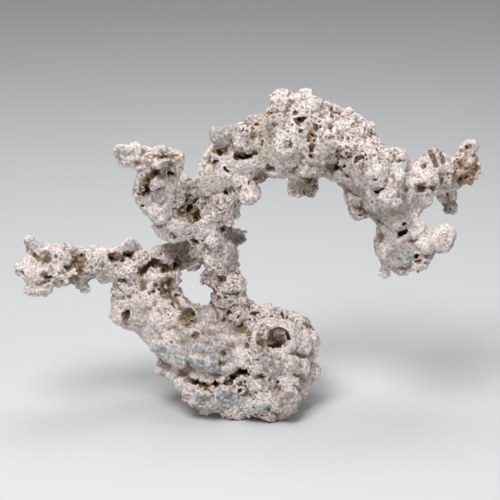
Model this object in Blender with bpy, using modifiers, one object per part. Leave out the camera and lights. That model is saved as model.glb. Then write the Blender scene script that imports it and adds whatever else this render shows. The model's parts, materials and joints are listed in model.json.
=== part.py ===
"""A dry reef rock: a heavy foot that branches into a low left arm, a forked knob and a tall arch.

The rock is one fused mass of lumps. It is modelled whole and then sawn at its main forks, so that each
branch is a solid of its own. Metres, +Z up, +X to the right, +Y away from the front. The origin is on the
floor, in the middle of the flat foot.
"""

import math
import random

import bmesh
import bpy
from mathutils import Matrix, Vector

MM = 0.001

# Place and half-thickness of each limb, in millimetres: across, away, up, half-thickness.
LIMBS = {
    "base": [
        (42, 2, 57, 29),
        (26, -4, 50, 43),
        (-4, -6, 46, 46),
        (-38, -4, 59, 40),
        (-72, 4, 82, 34),
        (-100, 12, 108, 30),
    ],
    "left_arm": [
        (-102, 12, 118, 26),
        (-114, 8, 140, 23),
        (-140, -2, 151, 20),
        (-168, -18, 154, 20),
        (-196, -32, 158, 19),
        (-212, -40, 156, 13),
    ],
    "stem": [
        (-12, 4, 88, 22),
        (-16, 8, 114, 18),
        (-22, 10, 142, 19),
        (-34, 8, 170, 21),
        (-38, 6, 192, 22),
    ],
    "crook": [
        (-44, 4, 188, 19),
        (-66, -2, 198, 17),
        (-84, -9, 215, 18),
        (-91, -21, 239, 17),
        (-88, -24, 261, 15),
    ],
    "arch": [
        (-36, 6, 198, 23),
        (-26, 9, 226, 25),
        (-10, 15, 252, 27),
        (16, 14, 269, 30),
        (48, 12, 273, 36),
        (80, 8, 271, 35),
        (108, -2, 259, 33),
        (130, -12, 236, 31),
        (147, -16, 213, 24),
    ],
    "hook": [
        (147, -16, 213, 24),
        (148, -25, 191, 20),
        (148, -37, 171, 19),
        (164, -40, 169, 16),
        (180, -36, 181, 10),
        (195, -31, 187, 12),
    ],
    "right_arm": [
        (138, -12, 232, 25),
        (160, -5, 232, 21),
        (184, 9, 241, 20),
        (202, 22, 239, 18),
        (218, 28, 236, 16),
    ],
}

# A strut of the base that runs behind the ring-shaped hole and meets the stem.
STRUT = [
    (-98, 18, 134, 19),
    (-82, 26, 149, 15),
    (-62, 24, 151, 15),
    (-42, 16, 160, 16),
]

# Lumps that stand out of the limbs, in millimetres: across, away, up, then half-sizes along X, Y and Z.
KNOBS = [
    (-116, -28, 270, 10, 12, 8),
    (-104, -26, 266, 13, 13, 9),
    (-74, -20, 263, 10, 13, 12),
    (-74, -19, 242, 11, 12, 14),
    (-101, -10, 224, 9, 12, 12),
    (-81, -4, 198, 12, 12, 12),
    (-76, -4, 190, 12, 12, 10),
    (-58, 12, 222, 12, 11, 13),
    (-110, -28, 267, 12, 11, 8),
    (-90, -24, 268, 14, 12, 9),
    (-67, -18, 257, 9, 12, 12),
    (-78, 4, 134, 14, 14, 14),
    (-72, -20, 44, 20, 20, 14),
    (70, 0, 66, 8, 14, 14),
    (-219, -40, 154, 8, 9, 7),
    (-214, -38, 178, 6, 10, 12),
    (-200, -30, 173, 18, 12, 9),
    (-206, -37, 134, 14, 15, 7),
    (-164, -15, 132, 10, 12, 9),
    (-116, 4, 168, 12, 12, 9),
    (-124, 6, 96, 12, 16, 14),
    (-22, 10, 280, 11, 14, 12),
    (-40, 8, 246, 9, 14, 11),
    (-47, 4, 225, 9, 12, 13),
    (38, 14, 310, 15, 18, 12),
    (68, 12, 307, 15, 20, 9),
    (58, 12, 311, 10, 14, 11),
    (94, 9, 292, 16, 18, 11),
    (102, 8, 298, 12, 14, 11),
    (52, 4, 232, 9, 11, 11),
    (66, 2, 231, 9, 12, 12),
    (110, 4, 281, 12, 16, 10),
    (26, 6, 248, 16, 16, 10),
    (107, -6, 237, 11, 16, 14),
    (106, -7, 226, 11, 16, 16),
    (110, -10, 210, 12, 16, 12),
    (6, -3, 225, 12, 14, 10),
    (148, -6, 264, 12, 12, 8),
    (134, -36, 153, 7, 8, 7),
    (171, -34, 195, 9, 9, 10),
    (168, -12, 213, 10, 12, 12),
    (221, 30, 260, 9, 10, 10),
    (226, 28, 246, 9, 10, 14),
    (190, 12, 224, 10, 10, 8),
    (204, 24, 212, 10, 10, 15),
    (-8, 24, 178, 14, 10, 8),
    (-70, -30, 69, 21, 22, 18),
    (-40, -42, 70, 28, 18, 16),
    (-36, -42, 30, 29, 18, 25),
    (-12, -39, 14, 22, 16, 16),
    (26, -47, 20, 32, 15, 22),
    (8, -6, 6, 52, 38, 20),
    (12, 26, 8, 36, 26, 18),
    (50, 22, 52, 26, 28, 32),
    (22, 0, 98, 9, 10, 8),
    (54, -20, 22, 12, 16, 14),
    (66, -10, 34, 11, 14, 9),
    (30, -25, 81, 30, 23, 23),
    (-20, 40, 34, 42, 22, 32),
    (-78, 34, 84, 22, 20, 26),
]

# Hollows worn into the rock, in millimetres: across, away, up, half-sizes along X, Y and Z, then how far
# the right-hand end is tipped up, in degrees.
HOLLOWS = [
    (33, -50, 85, 13, 30, 12, 0),
    (-50, -28, 104, 13, 20, 17, -20),
    (-20, -62, 52, 30, 20, 5, 14),
    (10, -62, 62, 12, 18, 5, 40),
    (-57, -20, 212, 8, 16, 15, -25),
    (-100, -39, 242, 7, 10, 13, 10),
    (-88, -12, 146, 17, 12, 6, -10),
    (-171, -40, 163, 4, 12, 10, -15),
    (-132, -25, 158, 6, 8, 5, 0),
    (-19, -20, 229, 6, 10, 5, 0),
    (2, -18, 266, 13, 9, 5, 10),
    (64, -30, 285, 5, 12, 15, 8),
    (131, -42, 237, 7, 10, 5, -20),
    (156, -48, 194, 8, 14, 6, 20),
    (181, -14, 230, 10, 10, 4, 15),
    (-186, -44, 138, 8, 14, 4, 0),
    (16, 48, 72, 18, 20, 12, 20),
    (-54, 52, 60, 16, 16, 9, -30),
    (-96, 46, 112, 10, 14, 12, 0),
    (54, 50, 277, 16, 14, 9, 25),
    (104, 36, 249, 9, 16, 12, -30),
    (-18, 44, 248, 9, 14, 12, 20),
    (-84, 5, 235, 7, 12, 12, 0),
    (-176, 5, 155, 14, 10, 6, 10),
    (148, 1, 182, 10, 14, 7, -20),
]

# Faces that broke away flat, in millimetres: a point on the face, the way it looks and its half-width.
FLATS = [
    ((-27, -10, 237), (-0.2, -1, 0.1), 15),
    ((68, -23, 254), (0, -1, -0.35), 18),
    ((152, -52, 171), (0.1, -1, 0.1), 14),
    ((-84, -25, 215), (-0.3, -1, 0.3), 14),
    ((-206, -43, 130), (-0.1, -0.3, -1), 16),
    ((-60, -12, 259), (1, -0.4, 0.1), 14),
    ((128, -39, 254), (0.3, -1, 0.5), 18),
    ((40, -56, 40), (0.5, -1, 0.1), 24),
    ((62, 34, 259), (0.1, 1, 0.1), 22),
    ((-40, 44, 96), (-0.3, 1, 0.7), 26),
]

# Where the whole rock is sawn into branches: a point on the cut, the way it faces and its half-width.
SAW_CUTS = [
    ((-136, 1, 148), (1, 0, 0), 36),
    ((-56, 24, 156), (0.9, -0.3, 0.2), 24),
    ((-19, 8, 124), (-0.2, 0, 1), 30),
    ((-70, -3, 203), (0.95, 0.15, -0.25), 38),
    ((-23, 8, 213), (0.3, 0, 1), 50),
    ((140, -18, 203), (0, 0, 1), 47),
    ((172, 2, 235), (1, 0.3, 0.1), 30),
]

STONE_COLOUR = (0.62, 0.57, 0.51)
STONE_ROUGHNESS = 0.95
LUMP_SPACING = 0.45
LUMP_JITTER = 0.14
LUMP_STRETCH = 0.12
VOXEL = 2.6 * MM
SOFTENING = 0.5
SOFTENING_ROUNDS = 3
BOSS_SIZE = 22 * MM
BOSS_HEIGHT = 11 * MM
FINGERTIP_SIZE = 11 * MM
FINGERTIP_DEPTH = 5 * MM
FINGERTIP_LEVEL = 0.4
SAW_KERF = 0.3 * MM
ROUND_SIDES = 16
LUMP_DETAIL = 3
TRIANGLES = 8400
FLOOR_BLOCK = 1.0
CREASE_ANGLE = 1.0
SEED = 5


def clear_scene():
    for thing in list(bpy.data.objects):
        bpy.data.objects.remove(thing, do_unlink=True)


def collection_named(name):
    made = bpy.data.collections.new(name)
    bpy.context.scene.collection.children.link(made)
    return made


def object_from(bm, name, collection):
    mesh = bpy.data.meshes.new(name)
    bm.to_mesh(mesh)
    bm.free()
    made = bpy.data.objects.new(name, mesh)
    collection.objects.link(made)
    return made


def between(a, b, c, d, t):
    """A point on the smooth curve through b and c, a share t of the way: a Catmull-Rom spline."""
    return 0.5 * (2 * b + (c - a) * t + (2 * a - 5 * b + 4 * c - d) * t**2 + (3 * b - a - 3 * c + d) * t**3)


def lumps_along(stations):
    """Points a share of a half-thickness apart on a smooth curve through a limb's stations."""
    points = [Vector(station) for station in stations]
    ends = [2 * points[0] - points[1], *points, 2 * points[-1] - points[-2]]
    found = []
    for a, b, c, d in zip(ends, ends[1:], ends[2:], ends[3:]):
        gap = (c - b).to_3d().length
        steps = max(1, round(gap / (LUMP_SPACING * min(b.w, c.w))))
        found += [between(a, b, c, d, step / steps) for step in range(steps)]
    return [*found, points[-1]]


def add_lump(bm, centre, half_sizes, tip=0):
    """Adds a ball, stretched to its half-sizes in millimetres, with its right-hand end tipped up."""
    place = Matrix.Translation(Vector(centre) * MM)
    turned = Matrix.Rotation(math.radians(-tip), 4, "Y")
    size = Matrix.Diagonal((*(Vector(half_sizes) * MM), 1))
    bmesh.ops.create_icosphere(bm, subdivisions=LUMP_DETAIL, radius=1, matrix=place @ turned @ size)


def lump_mass(collection):
    """All the limbs and knobs as overlapping balls in one mesh."""
    chance = random.Random(SEED)
    bm = bmesh.new()
    for stations in [*LIMBS.values(), STRUT]:
        for lump in lumps_along(stations):
            wobble = Vector(chance.uniform(-LUMP_JITTER, LUMP_JITTER) for _ in range(3))
            shape = Vector(chance.uniform(1 - LUMP_STRETCH, 1 + LUMP_STRETCH) for _ in range(3))
            add_lump(bm, lump.to_3d() + wobble * lump.w, shape * lump.w)
    for knob in KNOBS:
        add_lump(bm, knob[:3], knob[3:])
    return object_from(bm, "rock", collection)


def cutter(bm, name, collection):
    made = object_from(bm, name, collection)
    made.hide_render = True
    made.display_type = "WIRE"
    return made


def facing(point, direction):
    """The turn and move that take +Z at the origin to a direction at a point, in millimetres."""
    turn = Vector(direction).to_track_quat("Z", "Y").to_matrix().to_4x4()
    return Matrix.Translation(Vector(point) * MM) @ turn


def hollow_cutters(collection):
    """A ball for each hollow."""
    made = []
    for hollow in HOLLOWS:
        bm = bmesh.new()
        add_lump(bm, hollow[:3], hollow[3:6], hollow[6])
        made.append(cutter(bm, "hollow_cutter", collection))
    return made


def flat_cutters(collection):
    """A round block that stands on each flat face, outside it."""
    made = []
    for point, direction, half_width in FLATS:
        radius = half_width * MM
        bm = bmesh.new()
        place = facing(point, direction) @ Matrix.Translation((0, 0, radius / 2))
        bmesh.ops.create_cone(
            bm, cap_ends=True, segments=ROUND_SIDES, radius1=radius, radius2=2 * radius,
            depth=radius, matrix=place,
        )
        made.append(cutter(bm, "flat_cutter", collection))
    return made


def floor_cutter(collection):
    """A block that takes off everything below the floor."""
    bm = bmesh.new()
    below = Matrix.Translation((0, 0, -FLOOR_BLOCK / 2))
    bmesh.ops.create_cube(bm, size=FLOOR_BLOCK, matrix=below)
    return cutter(bm, "floor_cutter", collection)


def saw_cutters(collection):
    """A thin disc across each fork."""
    made = []
    for point, direction, half_width in SAW_CUTS:
        radius = half_width * MM
        bm = bmesh.new()
        place = facing(point, direction)
        bmesh.ops.create_cone(
            bm, cap_ends=True, segments=ROUND_SIDES, radius1=radius, radius2=radius,
            depth=SAW_KERF, matrix=place,
        )
        made.append(cutter(bm, "saw_cutter", collection))
    return made


def texture(name, kind, size):
    made = bpy.data.textures.new(name, kind)
    made.noise_scale = size
    return made


def apply_modifiers(thing):
    """Replaces the object's mesh with what its modifiers make of it."""
    graph = bpy.context.evaluated_depsgraph_get()
    mesh = bpy.data.meshes.new_from_object(thing.evaluated_get(graph))
    thing.modifiers.clear()
    thing.data = mesh


def one_skin(rock):
    """Melts everything that overlaps into one even skin."""
    remesh = rock.modifiers.new("one_skin", "REMESH")
    remesh.mode = "VOXEL"
    remesh.voxel_size = VOXEL


def soften(rock):
    """Takes the steps out of the skin."""
    smooth = rock.modifiers.new("soften", "SMOOTH")
    smooth.factor = SOFTENING
    smooth.iterations = SOFTENING_ROUNDS


def roughen(rock):
    """Bosses and hollows: broad ones first, and then ones the size of a fingertip."""
    boss = rock.modifiers.new("bosses", "DISPLACE")
    boss.texture = texture("bosses", "CLOUDS", BOSS_SIZE)
    boss.strength = BOSS_HEIGHT
    tip = rock.modifiers.new("fingertips", "DISPLACE")
    tip.texture = texture("fingertips", "VORONOI", FINGERTIP_SIZE)
    tip.strength = -FINGERTIP_DEPTH
    tip.mid_level = FINGERTIP_LEVEL


def subtract(rock, tool):
    cut = rock.modifiers.new(tool.name, "BOOLEAN")
    cut.operation = "DIFFERENCE"
    cut.object = tool


def thin_out(rock):
    """Brings the mesh down to the number of faces that a plain solid needs."""
    rock.data.calc_loop_triangles()
    decimate = rock.modifiers.new("thin_out", "DECIMATE")
    decimate.ratio = TRIANGLES / len(rock.data.loop_triangles)


def stone(name):
    made = bpy.data.materials.new(name)
    made.use_nodes = True
    shader = made.node_tree.nodes["Principled BSDF"]
    shader.inputs["Base Color"].default_value = (*STONE_COLOUR, 1)
    shader.inputs["Roughness"].default_value = STONE_ROUGHNESS
    shader.inputs["Metallic"].default_value = 0
    made.diffuse_color = (*STONE_COLOUR, 1)
    return made


def loose_pieces(mesh):
    """The face groups of a mesh that nothing joins, as sets of face indices."""
    bm = bmesh.new()
    bm.from_mesh(mesh)
    bm.faces.ensure_lookup_table()
    left = set(range(len(bm.faces)))
    groups = []
    while left:
        group, edge = set(), [left.pop()]
        while edge:
            face = edge.pop()
            group.add(face)
            near = {f.index for e in bm.faces[face].edges for f in e.link_faces} & left
            left -= near
            edge += near
        groups.append(group)
    bm.free()
    return groups


def branch_at(point):
    """The name of the limb whose middle lies nearest a point."""
    middles = {name: Vector(stations[len(stations) // 2][:3]) for name, stations in LIMBS.items()}
    return min(middles, key=lambda name: (middles[name] * MM - point).length)


def split_into_nodes(rock, collection):
    """Makes each sawn piece an object, named for its branch."""
    groups = sorted(loose_pieces(rock.data), key=len, reverse=True)[: len(LIMBS)]
    for group in groups:
        bm = bmesh.new()
        bm.from_mesh(rock.data)
        others = [face for face in bm.faces if face.index not in group]
        bmesh.ops.delete(bm, geom=others, context="FACES")
        middle = sum((v.co for v in bm.verts), Vector()) / len(bm.verts)
        name = branch_at(middle)
        piece = object_from(bm, name, collection)
        piece.data.shade_smooth()
        piece.data.set_sharp_from_angle(angle=CREASE_ANGLE)
        piece.data.materials.append(stone(name + "_stone"))


def whole_rock(parts, cutters):
    """The rock before it is sawn."""
    rock = lump_mass(parts)
    one_skin(rock)
    soften(rock)
    roughen(rock)
    apply_modifiers(rock)
    for tool in hollow_cutters(cutters) + flat_cutters(cutters):
        subtract(rock, tool)
    one_skin(rock)
    apply_modifiers(rock)
    thin_out(rock)
    apply_modifiers(rock)
    subtract(rock, floor_cutter(cutters))
    apply_modifiers(rock)
    return rock


def main():
    clear_scene()
    parts = collection_named("dry_reef_rock")
    cutters = collection_named("cutters")
    rock = whole_rock(parts, cutters)
    for saw in saw_cutters(cutters):
        subtract(rock, saw)
    apply_modifiers(rock)
    split_into_nodes(rock, parts)
    bpy.data.objects.remove(rock, do_unlink=True)


main()
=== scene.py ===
"""The dry reef rock's fine crust and colours, with a pale floor, soft studio light and the camera.

The crust is worked out on a grid of samples. Each sample holds its distance in millimetres to the stone's
skin, below zero inside the stone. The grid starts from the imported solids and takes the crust's lumps,
grain, nodules, pores and hollows one after another. Its zero surface then becomes the shown mesh.
"""

import json
import math

import bpy
import numpy as np
import openvdb as vdb
from mathutils import Matrix, Vector

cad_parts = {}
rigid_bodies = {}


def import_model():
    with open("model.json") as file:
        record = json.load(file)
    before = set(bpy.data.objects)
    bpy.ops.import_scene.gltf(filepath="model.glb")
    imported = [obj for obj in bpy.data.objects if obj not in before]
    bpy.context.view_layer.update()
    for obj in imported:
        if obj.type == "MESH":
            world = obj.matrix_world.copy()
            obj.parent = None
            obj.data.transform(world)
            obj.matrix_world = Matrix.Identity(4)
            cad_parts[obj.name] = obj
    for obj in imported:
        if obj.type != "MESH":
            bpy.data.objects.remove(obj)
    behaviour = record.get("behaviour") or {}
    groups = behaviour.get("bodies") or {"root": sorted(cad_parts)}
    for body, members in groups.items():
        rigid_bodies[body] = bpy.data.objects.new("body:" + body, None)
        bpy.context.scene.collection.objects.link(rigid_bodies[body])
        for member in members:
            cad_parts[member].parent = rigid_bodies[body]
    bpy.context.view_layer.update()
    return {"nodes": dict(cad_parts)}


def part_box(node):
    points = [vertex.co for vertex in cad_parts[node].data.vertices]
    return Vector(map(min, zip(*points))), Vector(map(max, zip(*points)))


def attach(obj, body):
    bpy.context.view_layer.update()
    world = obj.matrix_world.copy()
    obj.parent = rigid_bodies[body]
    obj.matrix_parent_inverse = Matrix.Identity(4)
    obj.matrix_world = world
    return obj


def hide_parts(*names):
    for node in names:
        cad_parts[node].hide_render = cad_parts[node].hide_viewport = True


MM = 0.001
SEED = 11

# The camera stands at the photograph's place: one pixel covers one millimetre at the target
ELEVATION = math.radians(18)
DISTANCE = 1700.0
TARGET = np.array([5.0, 0.0, 164.0])
IMAGE_MIDDLE = 250.0
SENSOR = 36.0
FORWARD = np.array([0.0, math.cos(ELEVATION), -math.sin(ELEVATION)])
RIGHT = np.array([1.0, 0.0, 0.0])
UP = np.cross(RIGHT, FORWARD)
EYE = TARGET - FORWARD * DISTANCE

# The stretch of a line of sight that is searched for the stone, before and behind the target, and its steps
SIGHT_BEFORE = 140
SIGHT_BEHIND = 200
SIGHT_STEP = 0.5

# The grid, in millimetres: the space between samples, the room round the solids, and how far distances go
STEP = 1.05
MARGIN = 8.0
REACH = 14.0
# Closes the thin cuts between the solids
BRIDGE = 0.6
# How far the crust's ground lies inside the solids' skin, to leave room for what stands on it
INSET = 0.8
MOST_TRIANGLES = 190000
# The spread of the noise's curves through random values with a spread of one
NOISE_SPREAD = 0.332

# Lengths and heights of the crust's forms, in millimetres
SWELL = [(22.0, 0.5), (11.0, 0.6)]
BOULDERS = [(14.0, 2.6)]
BOULDER_TOP = 0.12
COBBLES = [(7.5, 1.7), (4.0, 0.9)]
PITTING = [(6.5, 0.8), (3.2, 1.0)]
GRAIN = [(2.4, 0.32), (1.4, 0.40)]
MOST_RAISED = 3.2
MOST_SUNK = 3.4
SEAM = 1.2
# Two would make the lumps round, and more makes them blockier
LUMP_POWER = 2.6

# Forms set at random: how many, their sizes in millimetres and, for pits and pores, their depths
CHUNKS = 400, (1.8, 4.2)
NODULES = 800, (1.1, 2.2)
PITS = 110, (1.3, 2.5), (1.5, 3.8)
PORES = 3600, (0.8, 1.5), (1.2, 2.8)
UNSEEN_BULGES = 150, (5.0, 12.0)

# The stains that are also worn into the stone, and how deep
WORN = {"brown": 2.4, "ochre": 1.6}
# How far from a point its hollowness is judged, in millimetres
HOLLOW_RADII = (1.0, 2.0, 4.5, 9.0)

# What the photograph shows on the stone, each at a pixel across and a row down. One pixel is one millimetre.
# Blocky lumps: across, down, half-width, half-height, turn in degrees, height over the skin. Below zero, the
# lump lies behind the skin and only widens the outline.
BULGES = [
    (124, 151, 9, 6, -10, 2.5), (143, 150, 8, 5, 0, 2), (160, 151, 8, 5, 0, 2), (177, 161, 6, 10, -10, 3),
    (140, 166, 8, 5, 0, 2), (157, 163, 7, 5, 0, 2.5), (163, 193, 11, 9, 20, 3), (158, 212, 9, 10, 0, 3),
    (174, 224, 12, 9, -30, 3), (185, 180, 6, 4, 20, 3), (221, 136, 12, 10, 0, 4),
    (243, 141, 9, 12, -10, 3.5), (252, 124, 8, 9, 0, 3), (232, 164, 8, 7, 0, 2.5),
    (207, 163, 8, 5, 30, 2), (211, 185, 18, 11, 20, 2.5), (240, 178, 10, 9, 0, 2.5),
    (249, 194, 9, 9, 0, 2), (260, 173, 8, 9, 0, -5), (223, 201, 9, 7, 0, 3.5), (212, 213, 10, 10, 0, 2),
    (229, 221, 5, 5, 0, 3), (212, 236, 8, 14, 10, 2.5), (222, 256, 11, 18, -25, 1.5),
    (237, 283, 9, 10, 0, 2), (281, 104, 12, 10, 0, 3.5), (298, 101, 8, 7, 0, 3), (313, 106, 8, 8, 0, 3),
    (332, 121, 12, 9, -20, 3.5), (345, 128, 9, 9, 0, 2.5), (285, 138, 15, 18, 0, 3),
    (326, 150, 15, 13, 0, 3), (314, 169, 17, 8, 0, 2.5), (352, 150, 11, 9, 0, 2.5),
    (300, 128, 8, 8, 0, 2), (399, 154, 9, 6, -10, 2), (372, 176, 15, 14, 0, 2.5),
    (395, 172, 8, 16, 20, 3), (355, 198, 9, 10, 0, 1), (392, 200, 15, 7, -28, 1.2),
    (365, 213, 12, 5, -5, 2.5), (436, 158, 9, 10, 0, 1.5), (424, 197, 10, 11, 30, 0),
    (447, 170, 8, 12, 0, 2), (470, 148, 9, 8, 30, 2.5), (474, 168, 8, 11, 0, 2), (446, 196, 8, 7, 0, 2),
    (451, 207, 6, 7, 0, 2), (385, 233, 9, 16, -15, 3), (413, 233, 6, 6, 0, 2.5), (425, 247, 8, 8, 0, 2.5),
    (445, 239, 10, 13, -20, 3), (401, 259, 14, 9, 0, 2.5), (401, 240, 8, 4, 20, 1.5),
    (397, 227, 6, 4, 20, 1.5), (384, 273, 6, 5, 0, 2.5), (419, 263, 9, 6, 20, 2.5),
    (30, 244, 11, 7, -50, 0.5), (36, 252, 12, 10, -40, 1), (104, 275, 10, 9, 0, -5),
    (110, 282, 7, 11, 25, -5), (20, 267, 8, 6, 0, 1), (60, 256, 13, 12, 0, 2.5), (38, 288, 11, 5, 0, 2.5),
    (90, 262, 11, 12, 0, 2.5), (84, 288, 7, 5, 0, 2.5), (126, 247, 10, 7, 30, 3),
    (129, 268, 12, 11, 0, 4), (153, 281, 8, 10, -15, 4), (124, 290, 12, 9, 0, 3),
    (146, 300, 13, 10, 0, 3), (118, 312, 8, 11, 0, 3), (137, 316, 11, 9, 0, 3),
    (160, 322, 12, 10, -30, 3), (163, 307, 6, 10, -35, 2), (178, 338, 12, 8, -20, 3),
    (195, 334, 8, 7, 0, 2.5), (160, 346, 9, 7, 0, 3.5), (176, 358, 12, 7, -20, 3.5),
    (204, 362, 16, 9, -15, 3.5), (228, 366, 10, 7, 20, 3), (217, 345, 12, 9, 0, 2),
    (240, 346, 13, 12, 0, 2.5), (209, 320, 10, 12, 0, 2), (233, 318, 10, 10, 0, 2),
    (251, 310, 10, 6, 0, 2), (252, 327, 6, 12, 10, 2.5), (272, 312, 10, 7, 0, 3),
    (296, 322, 12, 8, -15, 2.5), (302, 342, 10, 12, 0, 3), (314, 345, 5, 12, 10, 2.5),
    (284, 361, 13, 8, -15, 2.5), (258, 366, 12, 9, 0, 2), (262, 388, 13, 9, 0, 2.5),
    (238, 390, 12, 7, 0, 2.5), (205, 392, 14, 8, -20, 3), (183, 384, 9, 7, 0, 2.5),
    (285, 384, 11, 9, 0, 2.5), (314, 374, 7, 6, 0, 2.5), (302, 366, 8, 9, 0, 2.5),
    (286, 406, 12, 8, 10, 3), (248, 404, 13, 7, -10, 2.5), (222, 402, 11, 6, -10, 2.5),
    (129, 156, 13, 11, 0, 1), (164, 229, 9, 8, -35, 1), (173, 236, 8, 6, -20, 0), (192, 262, 10, 6, 0, 0),
    (296, 187, 8, 9, 0, 1), (312, 189, 7, 8, 0, 1), (238, 238, 7, 6, -15, 0), (281, 335, 9, 8, 0, 10),
    (283, 98, 10, 7, 0, 1), (312, 101, 10, 7, 0, 1), (332, 110, 10, 7, -20, 1), (355, 120, 10, 7, -25, 1),
]
# Smooth patches: across, down, half-width, half-height, turn in degrees, how smooth. Below zero is rougher.
SMOOTH = [
    (32, 246, 9, 5, -40, 0.9), (36, 262, 11, 4, -35, 0.6), (137, 313, 12, 8, 0, 0.8),
    (129, 246, 8, 5, 30, 0.7), (153, 279, 7, 10, 0, 0.5), (188, 318, 9, 6, -40, 0.9),
    (208, 318, 11, 14, 0, 0.97), (445, 238, 11, 13, -20, 0.8), (262, 182, 6, 6, 0, 0.9),
    (180, 250, 16, 10, -15, -0.7), (215, 184, 17, 12, 20, 0.95), (219, 136, 14, 11, 0, 0.6),
    (263, 145, 5, 18, 5, 0.8), (314, 170, 16, 8, 0, 0.95), (324, 149, 14, 10, 0, 0.4),
    (227, 258, 14, 22, -15, 0.2), (124, 151, 9, 7, 0, 0.6), (180, 162, 4, 8, -20, 0.8),
    (160, 199, 9, 7, 0, 0.5), (177, 222, 14, 8, -30, 0.4), (402, 260, 12, 7, 0, 0.95),
    (390, 225, 12, 18, 20, 0.6), (273, 332, 14, 12, 0, 0.7), (166, 288, 10, 14, -40, 0.9),
    (184, 306, 10, 14, -45, 0.95), (202, 393, 15, 7, -25, 0.6), (235, 402, 15, 8, -5, 0.6),
    (268, 405, 14, 8, 0, 0.6), (290, 400, 10, 10, 0, 0.5), (205, 235, 11, 13, 0, 0.5),
    (232, 345, 16, 10, 0, 0.3), (160, 212, 12, 10, 0, 0.5), (172, 228, 12, 8, -30, 0.5),
    (304, 186, 15, 10, 0, -0.7), (385, 200, 20, 13, 0, -0.5), (474, 165, 12, 22, 0, -0.3),
    (305, 347, 4, 9, 0, 0.8), (375, 178, 16, 16, 0, 0.35), (315, 345, 5, 14, 10, 0.6),
    (62, 262, 12, 10, 0, 0.4),
]
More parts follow.
